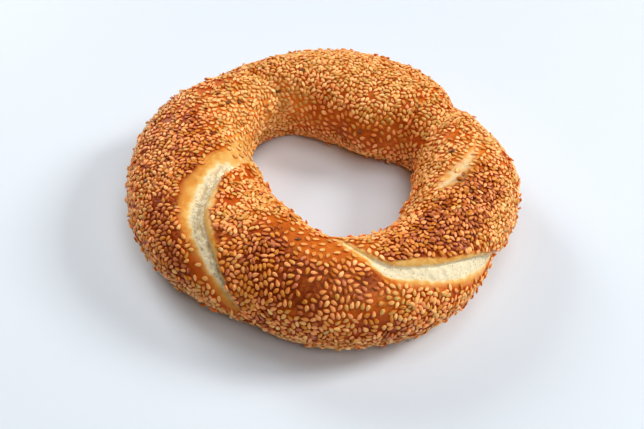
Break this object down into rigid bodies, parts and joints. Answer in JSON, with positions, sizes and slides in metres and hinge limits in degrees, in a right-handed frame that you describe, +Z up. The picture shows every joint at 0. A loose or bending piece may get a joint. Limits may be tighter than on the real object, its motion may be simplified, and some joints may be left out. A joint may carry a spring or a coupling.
{
  "type": "simit",
  "caption": "Twisted ring of sesame-crusted bread eaten as a snack, open in the middle, with crumb showing along torn seams, resting on a flat base",
  "frame": {"origin": "the middle of the bounding box, on the flat base the bread rests on", "axes": "+Z up, out of the bread's top; +X to the right and -Y towards the front, where the longer open tear lies to the left and the shorter one to the right"},
  "size_m": [0.1707, 0.1681, 0.0381],
  "materials": {
    "sesame_crust": "golden brown baked crust, stands for bread with sesame seeds"
  },
  "bodies": {
    "root": {"simit": "sesame_crust"}
  },
  "joints": []
}
